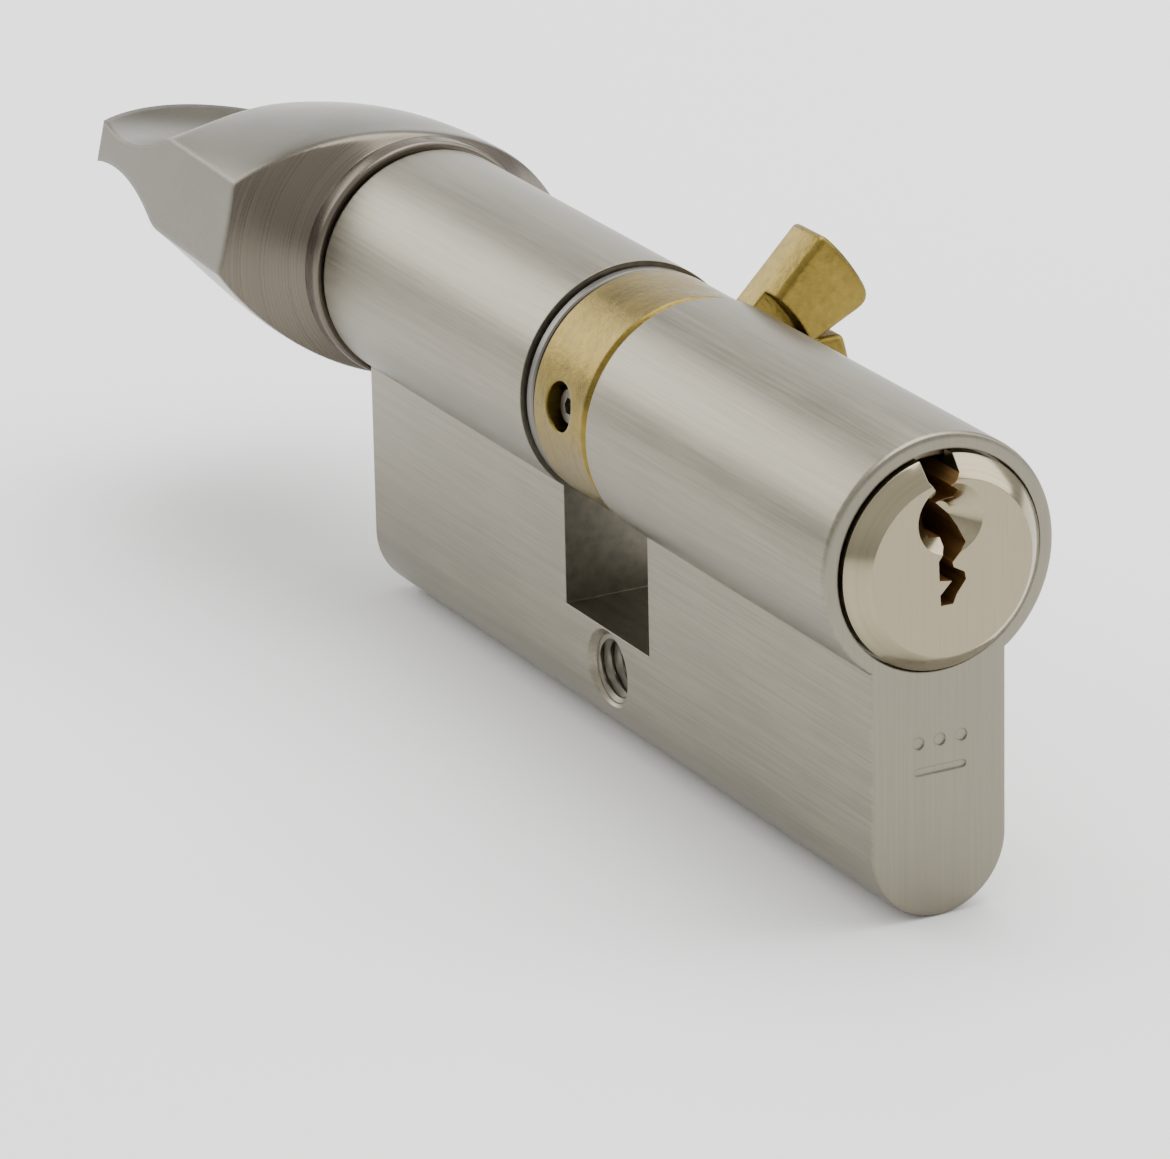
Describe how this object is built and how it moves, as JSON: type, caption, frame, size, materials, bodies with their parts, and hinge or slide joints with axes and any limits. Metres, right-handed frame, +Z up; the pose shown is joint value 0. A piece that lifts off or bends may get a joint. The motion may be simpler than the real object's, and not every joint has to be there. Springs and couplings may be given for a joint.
{
  "type": "euro cylinder",
  "caption": "Euro profile lock cylinder with a keyed plug at one end, a scooped thumbturn knob at the other and a brass cam with one lever between them.",
  "frame": {"origin": "centre of the M5 fixing-screw hole, midway through the flank and midway between the two ends of the body", "axes": "+Y along the plug axis from the key end towards the knob, +Z up from the flank to the barrel, +X across the flank, to the right when seen from the key end"},
  "size_m": [0.0276, 0.1107, 0.0357],
  "materials": {
    "satin_nickel": "fine brushed satin nickel plate on brass",
    "nickel_silver": "turned nickel silver",
    "yellow_brass": "bare machined brass",
    "bright_steel": "bright ground steel",
    "spring_steel": "drawn spring wire",
    "satin_nickel_knob": "brushed satin nickel plate on brass"
  },
  "bodies": {
    "housing": {"cylinder_body": "satin_nickel", "body_drill_guard": "bright_steel", "chamber_plug_1": "yellow_brass", "chamber_plug_2": "yellow_brass", "chamber_plug_3": "yellow_brass", "chamber_plug_4": "yellow_brass", "chamber_plug_5": "yellow_brass", "pin_spring_1": "spring_steel", "pin_spring_2": "spring_steel", "pin_spring_3": "spring_steel", "pin_spring_4": "spring_steel", "pin_spring_5": "spring_steel"},
    "plug": {"key_plug": "nickel_silver", "plug_circlip": "spring_steel", "plug_drill_guard_left": "bright_steel", "plug_drill_guard_right": "bright_steel"},
    "thumbturn": {"spindle": "yellow_brass", "spindle_ring": "bright_steel", "cam": "yellow_brass", "cam_screw": "bright_steel", "coupling_spring": "spring_steel", "thumbturn_knob": "satin_nickel_knob", "knob_grub_screw": "bright_steel"},
    "coupling": {"coupling": "bright_steel"},
    "key_pin_1": {"key_pin_1": "yellow_brass"},
    "key_pin_2": {"key_pin_2": "yellow_brass"},
    "key_pin_3": {"key_pin_3": "yellow_brass"},
    "key_pin_4": {"key_pin_4": "yellow_brass"},
    "key_pin_5": {"key_pin_5": "yellow_brass"},
    "driver_pin_1": {"driver_pin_1": "bright_steel"},
    "driver_pin_2": {"driver_pin_2": "bright_steel"},
    "driver_pin_3": {"driver_pin_3": "bright_steel"},
    "driver_pin_4": {"driver_pin_4": "bright_steel"},
    "driver_pin_5": {"driver_pin_5": "bright_steel"}
  },
  "joints": [
    {"name": "plug_turn", "type": "hinge", "parent": "housing", "child": "plug", "pos_m": [0, 0, 0.0185], "axis": [0, 1, 0], "continuous": true},
    {"name": "thumbturn_turn", "type": "hinge", "parent": "housing", "child": "thumbturn", "pos_m": [0, 0, 0.0185], "axis": [0, 1, 0], "continuous": true},
    {"name": "coupling_slide", "type": "slide", "parent": "plug", "child": "coupling", "axis": [0, 1, 0], "range_m": [0, 0.002], "stiffness_N_per_m": 150, "springref_m": -0.002, "deforming": ["coupling_spring"]},
    {"name": "key_pin_1_slide", "type": "slide", "parent": "plug", "child": "key_pin_1", "axis": [0, 0, 1], "range_m": [0, 0.0014]},
    {"name": "key_pin_2_slide", "type": "slide", "parent": "plug", "child": "key_pin_2", "axis": [0, 0, 1], "range_m": [0, 0.0014]},
    {"name": "key_pin_3_slide", "type": "slide", "parent": "plug", "child": "key_pin_3", "axis": [0, 0, 1], "range_m": [0, 0.0014]},
    {"name": "key_pin_4_slide", "type": "slide", "parent": "plug", "child": "key_pin_4", "axis": [0, 0, 1], "range_m": [0, 0.0014]},
    {"name": "key_pin_5_slide", "type": "slide", "parent": "plug", "child": "key_pin_5", "axis": [0, 0, 1], "range_m": [0, 0.0014]},
    {"name": "driver_pin_1_slide", "type": "slide", "parent": "housing", "child": "driver_pin_1", "axis": [0, 0, -1], "range_m": [0, 0.002], "stiffness_N_per_m": 100, "springref_m": -0.003, "deforming": ["pin_spring_1"]},
    {"name": "driver_pin_2_slide", "type": "slide", "parent": "housing", "child": "driver_pin_2", "axis": [0, 0, -1], "range_m": [0, 0.002], "stiffness_N_per_m": 100, "springref_m": -0.003, "deforming": ["pin_spring_2"]},
    {"name": "driver_pin_3_slide", "type": "slide", "parent": "housing", "child": "driver_pin_3", "axis": [0, 0, -1], "range_m": [0, 0.002], "stiffness_N_per_m": 100, "springref_m": -0.003, "deforming": ["pin_spring_3"]},
    {"name": "driver_pin_4_slide", "type": "slide", "parent": "housing", "child": "driver_pin_4", "axis": [0, 0, -1], "range_m": [0, 0.002], "stiffness_N_per_m": 100, "springref_m": -0.003, "deforming": ["pin_spring_4"]},
    {"name": "driver_pin_5_slide", "type": "slide", "parent": "housing", "child": "driver_pin_5", "axis": [0, 0, -1], "range_m": [0, 0.002], "stiffness_N_per_m": 100, "springref_m": -0.003, "deforming": ["pin_spring_5"]}
  ]
}
